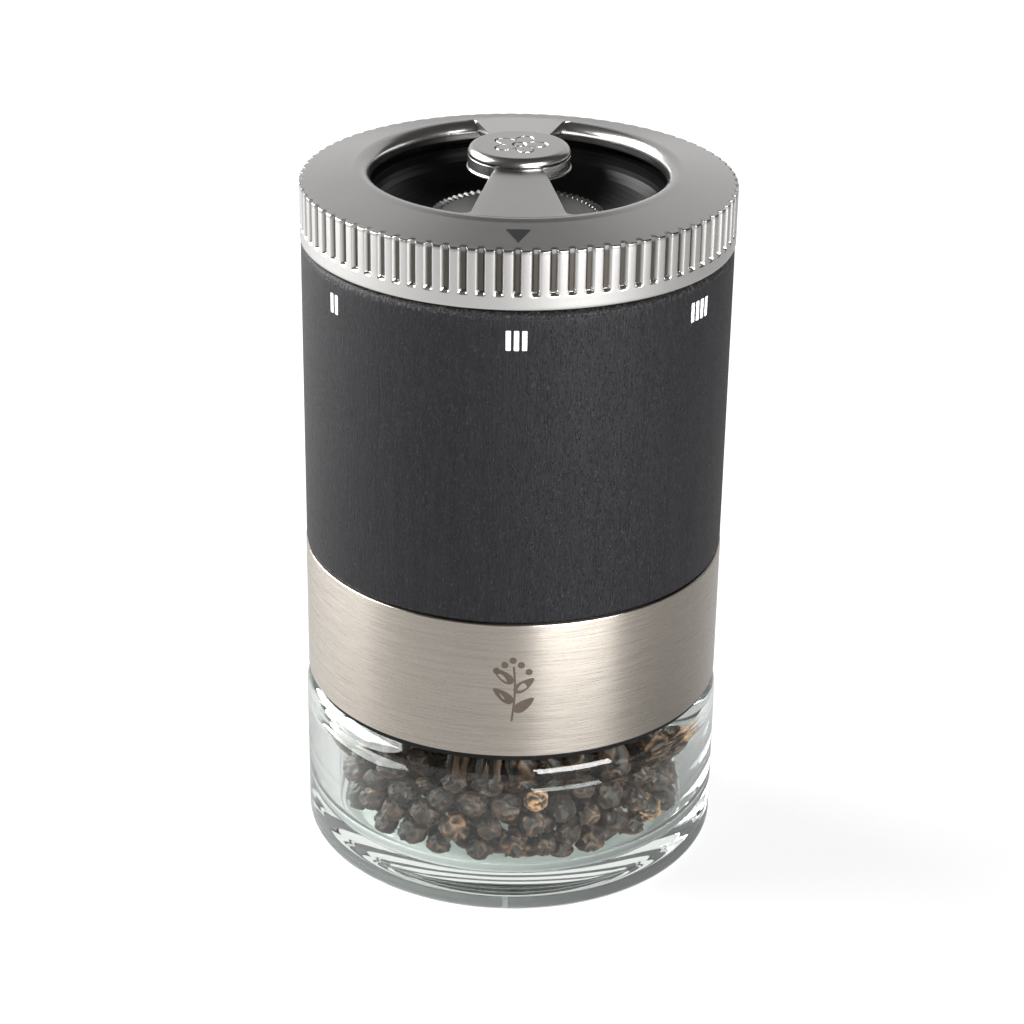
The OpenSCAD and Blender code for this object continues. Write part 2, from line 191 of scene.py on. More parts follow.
class Bench:
    """A new material and the nodes that are placed in it."""

    def __init__(self, name: str) -> None:
        """Starts a material with a Principled shader.

        Args:
            name: The material's name.
        """
        self.material = bpy.data.materials.new(name)
        self.material.use_nodes = True
        self.tree = self.material.node_tree
        self.shader = self.tree.nodes["Principled BSDF"]

    def node(
        self,
        kind: str,
        settings: dict[str, object] | None = None,
        inputs: dict[str | int, object] | None = None,
    ) -> Placed:
        """Places a node.

        Args:
            kind: The node's type.
            settings: Properties to set first, or "stops" for a ramp's (position, colour) pairs.
            inputs: Numbers, colours or values for the sockets.

        Returns:
            The placed node.
        """
        made = self.tree.nodes.new(kind)
        for key, value in (settings or {}).items():
            if key == "stops":
                self._stops(made, value)
            else:
                setattr(made, key, value)
        for key, value in (inputs or {}).items():
            self._feed(made.inputs[key], value)
        return Placed(self, made)

    def _stops(self, ramp: bpy.types.Node, stops: Sequence[tuple[float, tuple[float, ...]]]) -> None:
        """Sets the stops of a colour ramp.

        Args:
            ramp: The ramp's node.
            stops: A position from 0 to 1 and a colour for each stop.
        """
        elements = ramp.color_ramp.elements
        while len(elements) < len(stops):
            elements.new(0.5)
        for element, (position, colour) in zip(elements, stops):
            element.position = position
            element.color = (*colour[:3], 1.0)

    def _feed(self, socket: bpy.types.NodeSocket, value: object) -> None:
        """Links or sets one input socket.

        Args:
            socket: The input.
            value: A value to link, or a number or colour to set.
        """
        if isinstance(value, Value):
            self.tree.links.new(value.socket, socket)
        elif isinstance(value, tuple) and len(value) == 3 and socket.type == "RGBA":
            socket.default_value = (*value, 1.0)
        else:
            socket.default_value = value

    def place(self) -> Value:
        """Returns the position on the piece in object coordinates, in metres."""
        return self.node("ShaderNodeTexCoord").out("Object")

    def height(self) -> Value:
        """Returns the height on the piece, in metres."""
        return self.node("ShaderNodeSeparateXYZ", None, {0: self.place()}).out("Z")

    def stretched(self, scale: Scale) -> Value:
        """Stretches the object coordinates.

        Args:
            scale: The factor for each axis.

        Returns:
            The coordinates multiplied by their factors.
        """
        inputs = {0: self.place(), 1: scale}
        return self.node("ShaderNodeVectorMath", {"operation": "MULTIPLY"}, inputs).out("Vector")

    def noise(self, where: Value, scale: float, detail: float = 3.0, rough: float = 0.55) -> Value:
        """Adds a noise texture.

        Args:
            where: The coordinates it is read at.
            scale: How fine it is.
            detail: Its number of finer layers.
            rough: The strength of each finer layer.

        Returns:
            A value from 0 to 1.
        """
        inputs = {"Vector": where, "Scale": scale, "Detail": detail, "Roughness": rough}
        return self.node("ShaderNodeTexNoise", None, inputs).out(0)

    def radius(self) -> Value:
        """Returns the distance from the mill's axis, in metres."""
        flat = self.stretched((1.0, 1.0, 0.0))
        return self.node("ShaderNodeVectorMath", {"operation": "LENGTH"}, {0: flat}).out("Value")

    def rings(self, radial: float, along: float) -> Value:
        """Makes coordinates for marks that run round the axis.

        Args:
            radial: The factor for the radius.
            along: The factor for the height.

        Returns:
            A vector that changes only with radius and height.
        """
        inputs = {"X": self.radius() * radial, "Y": self.height() * along, "Z": 0.37}
        return self.node("ShaderNodeCombineXYZ", None, inputs).out(0)

    def tint(self, factor: Value, first: Colour | Value, second: Colour | Value) -> Value:
        """Mixes two colours.

        Args:
            factor: How much of the second colour is used, from 0 to 1.
            first: The first colour.
            second: The second colour.

        Returns:
            The colour between them.
        """
        mix = self.node("ShaderNodeMix", {"data_type": "RGBA"})
        self._feed(mix.node.inputs[0], factor)
        self._feed(mix.node.inputs[6], first)
        self._feed(mix.node.inputs[7], second)
        return mix.out(2)

    def ramped(self, value: Value, start: float, end: float) -> Value:
        """Turns a value into a straight rise from 0 to 1.

        Args:
            value: The value that drives it.
            start: The value at which the rise starts.
            end: The value at which it ends.

        Returns:
            0 below the start, 1 above the end.
        """
        inputs = {"Value": value, "From Min": start, "From Max": end}
        return self.node("ShaderNodeMapRange", None, inputs).out(0)

    def bump(self, height: Value, strength: float, depth: float) -> Value:
        """Raises a surface.

        Args:
            height: How far it is raised, from 0 to 1.
            strength: How much of the effect is used.
            depth: The full height, in millimetres.

        Returns:
            The normal of the raised surface.
        """
        inputs = {"Height": height, "Strength": strength, "Distance": depth * MM}
        return self.node("ShaderNodeBump", None, inputs).out("Normal")

    def finish(self, **sockets: object) -> bpy.types.Material:
        """Feeds the shader.

        Args:
            **sockets: Values by socket name, with underscores for spaces.

        Returns:
            The finished material.
        """
        for key, value in sockets.items():
            self._feed(self.shader.inputs[key.replace("_", " ")], value)
        return self.material


# ---------------------------------------------------------------- finishes


@dataclass(frozen=True)
class SatinMetal:
    """Die-cast metal, turned very finely and lightly handled."""

    name: str = "satin_metal"
    dark: Colour = (0.27, 0.267, 0.263)
    light: Colour = (0.39, 0.386, 0.38)
    groove_shade: Colour = (0.115, 0.104, 0.092)
    polished: Colour = (0.66, 0.65, 0.635)
    smooth: float = 0.18
    lines: float = 9000.0
    wall: float = reach("setting_ring")
    rim: float = high("setting_ring") - HUB_RISE - CROWN

    def make(self) -> bpy.types.Material:
        """Returns the material, polished on the ring's wall, with painted shade in its grooves."""
        b = Bench(self.name)
        fine = b.noise(b.rings(self.lines, self.lines), 1.0, 2.0)
        cloud = b.noise(b.place(), 120.0, 3.0)
        grain = b.noise(b.place(), 7000.0, 2.0)
        clean = b.tint(fine * 0.3 + cloud * 0.4 + grain * 0.3, self.dark, self.light)
        below = 1 - b.ramped(b.height(), (self.rim - 0.7) * MM, (self.rim - 0.2) * MM)
        sunk = 1 - b.ramped(b.radius(), (self.wall - 0.55) * MM, (self.wall - 0.15) * MM)
        # Painted shade: below the rim, the colour inside the grooves is darkened towards the groove shade
        # colour.
        colour = b.tint(below * sunk, b.tint(below, clean, self.polished), self.groove_shade)
        rough = self.smooth + 0.08 * fine + 0.05 * cloud
        normal = b.bump(fine * 0.5 + grain * 0.5, 0.12, 0.02)
        return b.finish(Base_Color=colour, Metallic=1.0, Roughness=rough, Normal=normal)


@dataclass(frozen=True)
class BrushedSteel:
    """Stainless steel brushed round the axis in short, fine strokes."""

    name: str = "brushed_band"
    dark: Colour = (0.36, 0.32, 0.28)
    light: Colour = (0.58, 0.535, 0.48)
    stretch: float = 0.82
    short_strokes: Scale = (130.0, 130.0, 11000.0)
    long_strokes: Scale = (40.0, 40.0, 5200.0)

    def make(self) -> bpy.types.Material:
        """Returns the material, whose highlights are drawn out across the strokes."""
        b = Bench(self.name)
        strokes = b.noise(b.stretched(self.short_strokes), 1.0, 3.0, 0.6)
        longer = b.noise(b.stretched(self.long_strokes), 1.0, 2.0)
        ramp = {"stops": [(0.25, self.dark), (0.75, self.light)]}
        colour = b.node("ShaderNodeValToRGB", ramp, {"Fac": strokes * 0.65 + longer * 0.35}).out("Color")
        normal = b.bump(strokes, 0.2, 0.015)
        return b.finish(
            Base_Color=colour,
            Metallic=1.0,
            Roughness=0.22 + 0.12 * strokes,
            Normal=normal,
            Anisotropic=self.stretch,
            Anisotropic_Rotation=0.25,
        )


@dataclass(frozen=True)
class StainedWood:
    """Beech stained black, with fine upright grain and short open pores."""

    name: str = "black_wood"
    edge: float = high("wood_grip")
    dark: Colour = (0.0022, 0.0022, 0.0026)
    light: Colour = (0.0105, 0.0107, 0.0130)
    glint: Colour = (0.045, 0.047, 0.055)
    pore: Colour = (0.0014, 0.0014, 0.0016)
    fibre: Colour = (0.085, 0.080, 0.074)
    fine_grain: Scale = (4200.0, 4200.0, 420.0)
    broad_grain: Scale = (900.0, 900.0, 60.0)
    short_pores: Scale = (6800.0, 6800.0, 1300.0)
    glint_flecks: Scale = (5200.0, 5200.0, 1700.0)

    def make(self) -> bpy.types.Material:
        """Returns the material, whose fibres are torn along the upper edge."""
        b = Bench(self.name)
        edge = b.ramped(b.height(), (self.edge - 1.2) * MM, (self.edge - 0.7) * MM)
        torn = edge * b.ramped(b.noise(b.place(), 2400.0, 4.0, 0.7), 0.5, 0.66)
        grain = b.noise(b.stretched(self.fine_grain), 1.0, 4.0, 0.65)
        figure = b.noise(b.stretched(self.broad_grain), 1.0, 3.0)
        pores = b.noise(b.stretched(self.short_pores), 1.0, 1.0)
        ramp = {"stops": [(0.32, self.dark), (0.7, self.light)]}
        skin = b.node("ShaderNodeValToRGB", ramp, {"Fac": grain * 0.7 + figure * 0.3}).out("Color")
        open_pore = b.ramped(pores, 0.60, 0.68)
        # Painted glints: pale flecks along the grain are mixed into the colour and have no relief.
        glint_mask = b.ramped(b.noise(b.stretched(self.glint_flecks), 1.0, 2.0, 0.7), 0.60, 0.72)
        pored = b.tint(open_pore, b.tint(glint_mask * 0.6, skin, self.glint), self.pore)
        colour = b.tint(torn * 0.7, pored, self.fibre)
        rough = 0.38 + 0.2 * grain + 0.1 * open_pore
        normal = b.bump(grain - 0.6 * open_pore - 1.6 * torn, 0.8, 0.12)
        return b.finish(Base_Color=colour, Roughness=rough, Normal=normal, Specular_IOR_Level=0.25)


@dataclass(frozen=True)
class Moulded:
    """Moulded plastic or rubber with a faint spark-eroded texture."""

    name: str
    colour: Colour
    smooth: float = 0.3
    texture: float = 0.15
    gloss: float = 0.4

    def make(self) -> bpy.types.Material:
        """Returns the material."""
        b = Bench(self.name)
        fine = b.noise(b.place(), 5200.0, 2.0)
        cloud = b.noise(b.place(), 160.0, 3.0)
        lifted = tuple(min(1.0, c * 1.35 + 0.004) for c in self.colour)
        colour = b.tint(cloud, self.colour, lifted)
        normal = b.bump(fine, self.texture, 0.03)
        rough = self.smooth + 0.04 * cloud
        return b.finish(Base_Color=colour, Roughness=rough, Normal=normal, Specular_IOR_Level=self.gloss)


@dataclass(frozen=True)
class MachinedMetal:
    """Turned steel or brass with tool lines."""

    name: str
    dark: Colour
    light: Colour
    smooth: float = 0.25

    def make(self) -> bpy.types.Material:
        """Returns the material."""
        b = Bench(self.name)
        lines = b.noise(b.rings(5200.0, 5200.0), 1.0, 3.0)
        cloud = b.noise(b.place(), 260.0, 3.0)
        colour = b.tint(lines * 0.5 + cloud * 0.5, self.dark, self.light)
        normal = b.bump(lines, 0.2, 0.03)
        return b.finish(Base_Color=colour, Metallic=1.0, Roughness=self.smooth + 0.16 * cloud, Normal=normal)


@dataclass(frozen=True)
class PressedGlass:
    """Clear pressed glass with a green cast and the slight waviness of the mould."""

    name: str = "clear_glass"
    thin: Colour = (0.955, 0.985, 0.968)
    thick: Colour = (0.895, 0.955, 0.925)
    shade: Colour = (0.93, 0.97, 0.95)

    def make(self) -> bpy.types.Material:
        """Returns the material, which lets the lamps' light through to what is inside it."""
        b = Bench(self.name)
        wave = b.noise(b.place(), 70.0, 1.0)
        colour = b.tint(wave, self.thick, self.thin)
        normal = b.bump(wave, 0.1, 0.5)
        b.finish(Base_Color=colour, Roughness=0.0, IOR=1.46, Transmission_Weight=1.0, Normal=normal)
        passing = b.node("ShaderNodeBsdfTransparent", None, {"Color": (*self.shade, 1.0)}).out(0)
        lamp_ray = b.node("ShaderNodeLightPath").out("Is Shadow Ray")
        surface = Value(b, b.shader.outputs["BSDF"])
        mixed = b.node("ShaderNodeMixShader", None, {0: lamp_ray, 1: surface, 2: passing}).out(0)
        b.tree.links.new(mixed.socket, b.tree.nodes["Material Output"].inputs["Surface"])
        return b.material


@dataclass(frozen=True)
class PepperSkin:
    """Dried, wrinkled skin: tan along the creases' crests, partly real colour and partly painted highlight,
    and nearly black in the folds from painted shade.
    """

    name: str = "pepper"
    fold_shade: Colour = (0.0015, 0.0010, 0.0008)
    deep: Colour = (0.012, 0.006, 0.0036)
    middle: Colour = (0.050, 0.024, 0.013)
    crest: Colour = (0.46, 0.25, 0.12)

    def make(self) -> bpy.types.Material:
        """Returns the material."""
        b = Bench(self.name)
        tone = b.node("ShaderNodeAttribute", {"attribute_name": "tone"}).out("Fac")
        fold = b.node("ShaderNodeAttribute", {"attribute_name": "fold"}).out("Fac")
        speck = b.noise(b.place(), 1500.0, 4.0, 0.65)
        ramp = {"stops": [(0.0, self.deep), (0.5, self.middle), (1.0, self.crest)]}
        # Painted shade and highlight: the fold value lightens the crests and darkens the folds towards the
        # fold shade colour.
        amount = tone * 0.6 + fold * 0.3 + speck * 0.3 - 0.16
        skin = b.node("ShaderNodeValToRGB", ramp, {"Fac": amount}).out("Color")
        colour = b.tint(fold, self.fold_shade, skin)
        normal = b.bump(speck, 0.6, 0.12)
        rough = 0.44 + 0.25 * speck
        return b.finish(Base_Color=colour, Roughness=rough, Normal=normal, Specular_IOR_Level=0.3)


class Finishes:
    """Every finish on the mill, made once."""

    def __init__(self) -> None:
        """Makes the materials, by the record's slot names."""
        self.by_slot: dict[str, bpy.types.Material] = {
            "satin_metal": SatinMetal().make(),
            "brushed_band": BrushedSteel().make(),
            "black_wood": StainedWood().make(),
            "black_plastic": Moulded("black_plastic", (0.002, 0.002, 0.0024), 0.34, 0.05, 0.16).make(),
            "white_plastic": Moulded("white_plastic", (0.72, 0.72, 0.68), 0.4).make(),
            "rubber": Moulded("rubber", (0.02, 0.02, 0.02), 0.6, 0.4).make(),
            "spring_steel": MachinedMetal("spring_steel", (0.5, 0.5, 0.5), (0.66, 0.66, 0.66), 0.2).make(),
            "tool_steel": MachinedMetal("tool_steel", (0.17, 0.17, 0.165), (0.33, 0.33, 0.32), 0.34).make(),
            "brass": MachinedMetal("brass", (0.68, 0.5, 0.22), (0.85, 0.68, 0.36), 0.24).make(),
            "clear_glass": PressedGlass().make(),
            "pepper": PepperSkin().make(),
        }
        self.mark_white = Moulded("mark_white", (0.62, 0.64, 0.65), 0.5).make()
        self.mark_grey = Moulded("mark_grey", (0.012, 0.012, 0.013), 0.6, 0.15, 0.12).make()
        self.etched = MachinedMetal("etched", (0.085, 0.07, 0.055), (0.15, 0.125, 0.10), 0.55).make()


# ---------------------------------------------------------------- mesh making


def arc(centre: Point, radii: Point, start: float, end: float, steps: int) -> list[Point]:
    """Returns the points of an elliptical arc.

    Args:
        centre: The arc's centre, as radius and height.
        radii: Its half widths along the radius and the height.
        start: The first angle, in degrees.
        end: The last angle, in degrees.
        steps: The number of stretches.

    Returns:
        The points, both ends included.
    """
    turns = [math.radians(start + (end - start) * i / steps) for i in range(steps + 1)]
    return [(centre[0] + radii[0] * math.cos(a), centre[1] + radii[1] * math.sin(a)) for a in turns]


def softened(points: Sequence[Point], radius: float, steps: int = 4) -> list[Point]:
    """Rounds every corner of a closed outline.

    Args:
        points: The corners in order.
        radius: The largest rounding, cut back where the sides are short.
        steps: The number of stretches in each rounding.

    Returns:
        The rounded outline.
    """
    result: list[Point] = []
    for i, corner in enumerate(points):
        here = Vector(corner)
        back = Vector(points[i - 1]) - here
        on = Vector(points[(i + 1) % len(points)]) - here
        cut = min(radius, back.length * 0.45, on.length * 0.45)
        start = here + back.normalized() * cut
        end = here + on.normalized() * cut
        for k in range(steps + 1):
            t = k / steps
            p = start * (1 - t) ** 2 + here * (2 * t * (1 - t)) + end * t**2
            result.append((p.x, p.y))
    return result


def between(start: Point, end: Point, steps: int) -> list[Point]:
    """Cuts a straight line into even stretches.

    Args:
        start: The line's start.
        end: The line's end.
        steps: The number of stretches.

    Returns:
        The points from the start on, without the end.
    """
    return [
        (start[0] + (end[0] - start[0]) * i / steps, start[1] + (end[1] - start[1]) * i / steps)
        for i in range(steps)
    ]


def round_turn(count: int) -> list[float]:
    """Divides a full turn.

    Args:
        count: The number of parts.

    Returns:
        The angles, in radians.
    """
    return [math.tau * i / count for i in range(count)]


def smoothstep(start: float, end: float, x: float) -> float:
    """Makes a smooth rise from 0 to 1.

    Args:
        start: Where the rise starts.
        end: Where it ends.
        x: The place it is read at.

    Returns:
        0 before the start, 1 after the end.
    """
    t = min(1.0, max(0.0, (x - start) / (end - start)))
    return t * t * (3 - 2 * t)


def new_object(name: str, mesh: bpy.types.Mesh, sharp: float = 35.0) -> bpy.types.Object:
    """Links a mesh to the scene with smooth faces and sharp corners.

    Args:
        name: The piece's name.
        mesh: Its mesh.
        sharp: The angle above which an edge stays sharp, in degrees.

    Returns:
        The new object.
    """
    mesh.shade_smooth()
    mesh.set_sharp_from_angle(angle=math.radians(sharp))
    made = bpy.data.objects.new(name, mesh)
    bpy.context.scene.collection.objects.link(made)
    return made


def mesh_from(
    name: str, points: Iterable[Sequence[float]], faces: Iterable[Sequence[int]]
) -> bpy.types.Mesh:
    """Makes a mesh with its faces turned outwards.

    Args:
        name: The mesh's name.
        points: Its points, in millimetres.
        faces: The points of each face, by number.

    Returns:
        The mesh, in metres.
    """
    mesh = bpy.data.meshes.new(name)
    mesh.from_pydata([tuple(c * MM for c in p) for p in points], [], [tuple(f) for f in faces])
    bm = bmesh.new()
    bm.from_mesh(mesh)
    bmesh.ops.recalc_face_normals(bm, faces=bm.faces)
    bm.to_mesh(mesh)
    bm.free()
    return mesh


@dataclass
class Turned:
    """A turned shape: an outline of radius and height, taken round the axis."""

    name: str
    outline: Sequence[Point]
    angles: Sequence[float]
    warp: Warp | None = None
    solid_core: bool = False
    sharp: float = 35.0

    def make(self) -> bpy.types.Object:
        """Builds the piece.

        Returns:
            The object. A solid core's outline starts and ends on the axis.
        """
        inner = list(self.outline[1:-1]) if self.solid_core else list(self.outline)
        points: list[tuple[float, float, float]] = []
        for a in self.angles:
            c, s = math.cos(a), math.sin(a)
            for r, z in inner:
                rr, zz = self.warp(a, r, z) if self.warp else (r, z)
                points.append((rr * c, rr * s, zz))
        n, m = len(self.angles), len(inner)
        span = m - 1 if self.solid_core else m
        faces: list[tuple[int, ...]] = []
        for i in range(n):
            p, q = i * m, ((i + 1) % n) * m
            faces += [(p + j, q + j, q + (j + 1) % m, p + (j + 1) % m) for j in range(span)]
        if self.solid_core:
            for end, j in ((self.outline[0], 0), (self.outline[-1], m - 1)):
                tip = len(points)
                height = self.warp(0.0, 0.0, end[1])[1] if self.warp else end[1]
                points.append((0.0, 0.0, height))
                faces += [(tip, i * m + j, ((i + 1) % n) * m + j) for i in range(n)]
        return new_object(self.name, mesh_from(self.name, points, faces), self.sharp)


def wrapped_plate(
    name: str,
    outline: Sequence[Point],
    radius: float,
    height: float,
    turn: float,
    proud: float = 0.04,
    grow: int = 1,
) -> bpy.types.Object:
    """Makes a thin plate that follows the round wall of the mill.

    Args:
        name: The piece's name.
        outline: A closed outline, as distance round the wall and height, in millimetres.
        radius: The wall's radius.
        height: The height of the outline's origin.
        turn: Where the outline's origin lies, in degrees from the front towards +X.
        proud: How far the plate stands out.
        grow: How many stretches each side is cut into.

    Returns:
        The object.
    """
    dense = [p for i, a in enumerate(outline) for p in between(a, outline[(i + 1) % len(outline)], grow)]
    count = len(dense)
    points = []
    for depth in (-0.05, proud):
        for u, v in dense:
            a = math.radians(turn - 90) + u / radius
            points.append(((radius + depth) * math.cos(a), (radius + depth) * math.sin(a), height + v))
    faces: list[tuple[int, ...]] = [tuple(range(count)), tuple(range(2 * count - 1, count - 1, -1))]
    faces += [(i, (i + 1) % count, count + (i + 1) % count, count + i) for i in range(count)]
    return new_object(name, mesh_from(name, points, faces), 30.0)


def joined(name: str, parts: Sequence[bpy.types.Object]) -> bpy.types.Object:
    """Joins pieces.

    Args:
        name: The joined piece's name.
        parts: The pieces, which are removed.

    Returns:
        The joined piece.
    """
    bm = bmesh.new()
    for part in parts:
        bm.from_mesh(part.data)
        bpy.data.objects.remove(part)
    mesh = bpy.data.meshes.new(name)
    bm.to_mesh(mesh)
    bm.free()
    return new_object(name, mesh, 30.0)


def dress(
    piece: bpy.types.Object, material: bpy.types.Material, body: Body, slot: str, *nodes: str
) -> bpy.types.Object:
    """Gives a piece its finish and its body.

    Args:
        piece: The piece.
        material: Its finish.
        body: The body it rides on.
        slot: The record's material slot. It is not used.
        nodes: The CAD nodes it stands for.

    Returns:
        The piece.
    """
    piece.data.materials.clear()
    piece.data.materials.append(material)
    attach(piece, body.value)
    if nodes:
        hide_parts(*nodes)
    LOG.info("%s rides on %s", piece.name, body.value)
    return piece


# ---------------------------------------------------------------- sub-assemblies


@dataclass
class SettingRing:
    """The grooved ring with its bridge, hub, cap and pointer."""

    finishes: Finishes
    edge_radius: float = reach("setting_ring")
    bottom: float = high("wood_grip") + 0.3
    hub_top: float = high("setting_ring")
    hub_rise: float = HUB_RISE
    hub_radius: float = 7.7
    hub_height: float = 2.1
    opening: float = 24.3
    roll: float = 1.9
    crown: float = CROWN
    grooves: int = 80
    groove_deep: float = 0.55
    groove_half: float = 0.66
    groove_floor: float = 0.34
    insert_radius: float = 26.0
    skirt_radius: float = 27.2
    hollow_radius: float = 30.6
    notch_centre: float = 30.2
    notch_radius: float = 1.15
    notch_tall: float = 3.2
    plain_edge: float = 1.9
    wall_round: float = 0.28

    def __post_init__(self) -> None:
        """Works out the heights of the ring's face and of its rim."""
        self.face = self.hub_top - self.hub_rise
        self.rim = self.face - self.crown

    def build(self) -> None:
        """Builds every piece of the ring."""
        metal = self.finishes.by_slot["satin_metal"]
        dress(self._ring(), metal, Body.SELECT_RING, "satin_metal", "setting_ring")
        for side in (1, -1):
            dress(self._bridge(side), metal, Body.SELECT_RING, "satin_metal")
        dress(self._hub(), metal, Body.SELECT_RING, "satin_metal")
        dress(self._cap(), metal, Body.SELECT_RING, "satin_metal", "hub_cap")
        dress(self._pointer(), self.finishes.mark_grey, Body.SELECT_RING, "black_plastic")

    def _angles(self) -> list[float]:
        """Returns the angles of the ring's mesh, closer together at the sides of each groove."""
        pitch = math.tau / self.grooves
        half, floor = self.groove_half, self.groove_floor
        shore = half + 0.09
        side = [floor * 0.4, floor - 0.05, floor + 0.05, half - 0.07, half + 0.01, shore]
        land = pitch * self.edge_radius - 2 * shore
        across = [-x for x in reversed(side)] + side + [shore + land * t for t in (0.2, 0.4, 0.6, 0.8)]
        return [pitch * i + x / self.edge_radius for i in range(self.grooves) for x in across]

    def _warp(self, angle: float, r: float, z: float) -> tuple[float, float]:
        """Cuts the grooves into the wall, out through its upper edge, and crowns the lands between.

        Args:
            angle: The point's angle, in radians.
            r: Its radius.
            z: Its height.

        Returns:
            The point's new radius and height.
        """
        if abs(r - self.hollow_radius) < 0.05:
            return self._notched(angle, r, z), z
        if r < self.edge_radius - self.groove_deep - 0.01 or z < self.bottom + self.plain_edge:
            return r, z
        pitch = math.tau / self.grooves * self.edge_radius
        off = abs((angle * self.edge_radius / pitch + 0.5) % 1.0 - 0.5) * pitch
        ramp = (self.groove_half - off) / (self.groove_half - self.groove_floor)
        foot = self.bottom + self.plain_edge
        runout = smoothstep(foot + 0.1, foot + 0.7, z)
        depth = self.groove_deep * min(1.0, max(0.0, ramp)) * runout
        if off > self.groove_half:
            across = (pitch / 2 - off) / (pitch / 2 - self.groove_half)
            depth = 0.05 * across**4 * runout
        return min(r, self.edge_radius - depth), z

    def _notched(self, angle: float, r: float, z: float) -> float:
        """Cuts the notches in which the click spring can rest into the wall of the hollow.

        Args:
            angle: The point's angle, in radians.
            r: Its radius.
            z: Its height.

        Returns:
            The point's new radius.
        """
        if z > self.bottom + self.notch_tall + 0.02:
            return r
        deepest = r
        for place in range(FIRST_SETTING, FIRST_SETTING + SETTINGS):
            turn = angle - math.radians(90 - place * STEP)
            off = self.notch_centre * math.sin(turn)
            if math.cos(turn) > 0 and abs(off) < self.notch_radius:
                depth = math.sqrt(self.notch_radius**2 - off**2)
                deepest = max(deepest, self.notch_centre * math.cos(turn) + depth)
        return deepest

    def _ring(self) -> bpy.types.Object:
        """Returns the ring with its skirt."""
        wall = self.edge_radius
        soft = self.wall_round
        grooves = self.bottom + self.plain_edge
        notches = self.bottom + self.notch_tall
        hollow = self.hollow_radius
        foot = low("setting_ring")
        skirt = self.skirt_radius
        ceiling = self.rim - 2.0
        lip = self.opening - self.roll
        outer = arc((wall - soft, self.bottom + soft), (soft, soft), -90, 0, 4)
        outer += between((wall, self.bottom + 0.5), (wall, grooves), 3)
        outer += between((wall, grooves), (wall, grooves + 0.9), 12)
        outer += between((wall, grooves + 0.9), (wall, self.rim - 0.5), 8)
        outer += arc((wall - soft, self.rim - soft), (soft, soft), 0, 76, 6)
        face = between((wall - soft - 0.08, self.rim + 0.02), (self.opening + 0.6, self.face - 0.14), 18)
        curl = arc((self.opening, self.face - self.roll), (self.roll, self.roll), 77, 180, 22)
        lip_foot = self.face - 2.8
        lip_end = [(lip, lip_foot + 0.2), (lip + 0.15, lip_foot)]
        clip_groove = [(skirt, foot + 1.5), (skirt - 0.5, foot + 1.5)]
        clip_groove += [(skirt - 0.5, foot + 3.0), (skirt, foot + 3.0)]
        inner = [(self.insert_radius, lip_foot), (self.insert_radius, foot), (skirt, foot)]
        under = [(skirt, ceiling), (hollow, ceiling)]
        under += [(hollow, notches + 0.1), (hollow, notches), (hollow, self.bottom)]
        outline = outer + face + curl + lip_end + inner + clip_groove + under
        return Turned("setting_ring_body", outline, self._angles(), self._warp, sharp=32.0).make()

    def _arm_top(self, r: float) -> float:
        """Works out the height of the bridge, which rises from the face to the hub.

        Args:
            r: A radius.

        Returns:
            The height there.
        """
        share = (self.opening - r) / (self.opening - self.hub_radius)
        return self.face + self.hub_rise * min(1.0, max(0.0, share))

    def _half_width(self, y: float) -> float:
        """Works out how wide the bridge is.

        Args:
            y: A distance from the axis.

        Returns:
            Half the width there.
        """
        share = max(0.0, (y - self.hub_radius) / (self.opening - self.hub_radius))
        corner = min(1.0, max(0.0, (y - (self.opening - 1.9)) / 1.5))
        return 3.6 + 3.4 * share**0.85 + 1.3 * (1 - math.sqrt(1 - corner**2))

    def _bridge(self, side: int) -> bpy.types.Object:
        """Returns one arm of the bridge, whose end sinks into the ring's face.

        Args:
            side: 1 for the arm towards +Y and -1 for the arm towards -Y.

        Returns:
            The arm.
        """
        thick, edge = 1.8, 0.16
        rounding = (0.5, 1.05, math.pi / 2)
        section: list[Point] = [(-1.0, -thick), (-1.0, -edge)]
        section += [(-1.0 + 0.03 * (1 - math.cos(t)), -edge * (1 - math.sin(t))) for t in rounding]
        section += [(-0.6 + 0.2 * i, 0.0) for i in range(7)]
        section += [(1.0 - 0.03 * (1 - math.cos(t)), -edge * (1 - math.sin(t))) for t in reversed(rounding)]
        section += [(1.0, -edge), (1.0, -thick)]
        start, stations = 4.0, 60
        points: list[tuple[float, float, float]] = []
        for k in range(stations + 1):
            t = k / stations
            for u, v in section:
                x = u * self._half_width(start + (self.opening - start) * t)
                y = start + (math.sqrt(self.opening**2 - x * x) - start) * t
                points.append((side * -x, side * y, self._arm_top(math.hypot(x, y)) + v))
        for u, v in section:
            x = u * (self._half_width(self.opening) + 0.1)
            y = math.sqrt((self.opening + 1.0) ** 2 - x * x)
            points.append((side * -x, side * y, self.face - 0.45 + v * 0.5))
        m = len(section)
        faces: list[tuple[int, ...]] = [tuple(range(m)), tuple((stations + 1) * m + j for j in range(m))]
        for k in range(stations + 1):
            near, far = k * m, (k + 1) * m
            faces += [(near + j, near + (j + 1) % m, far + (j + 1) % m, far + j) for j in range(m)]
        name = "bridge_back" if side > 0 else "bridge_front"
        return new_object(name, mesh_from(name, points, faces), 30.0)

    def _hub(self) -> bpy.types.Object:
        """Returns the round hub with its flange, and the boss under it."""
        bore = reach("hub_bush")
        boss = bore + 0.7
        peg = 2.2
        foot = low("hub_bush")
        seat = high("hub_bush")
        under = self.hub_top - self.hub_height
        flange = self.hub_radius + 0.2
        corners = [(bore, foot), (boss, foot), (boss, under), (flange, under), (flange, under + 0.3),
                   (self.hub_radius, under + 0.42), (self.hub_radius, self.hub_top), (peg, self.hub_top),
                   (peg, seat), (bore, seat)]
        return Turned("hub", softened(corners, 0.12), round_turn(360)).make()

    def _cap(self) -> bpy.types.Object:
        """Returns the cap, with a five-petalled flower cut into it."""
        top = high("hub_cap")
        base = self.hub_top
        width = reach("hub_cap")
        soft = 1.1
        peg, peg_foot = 2.17, base - 0.9

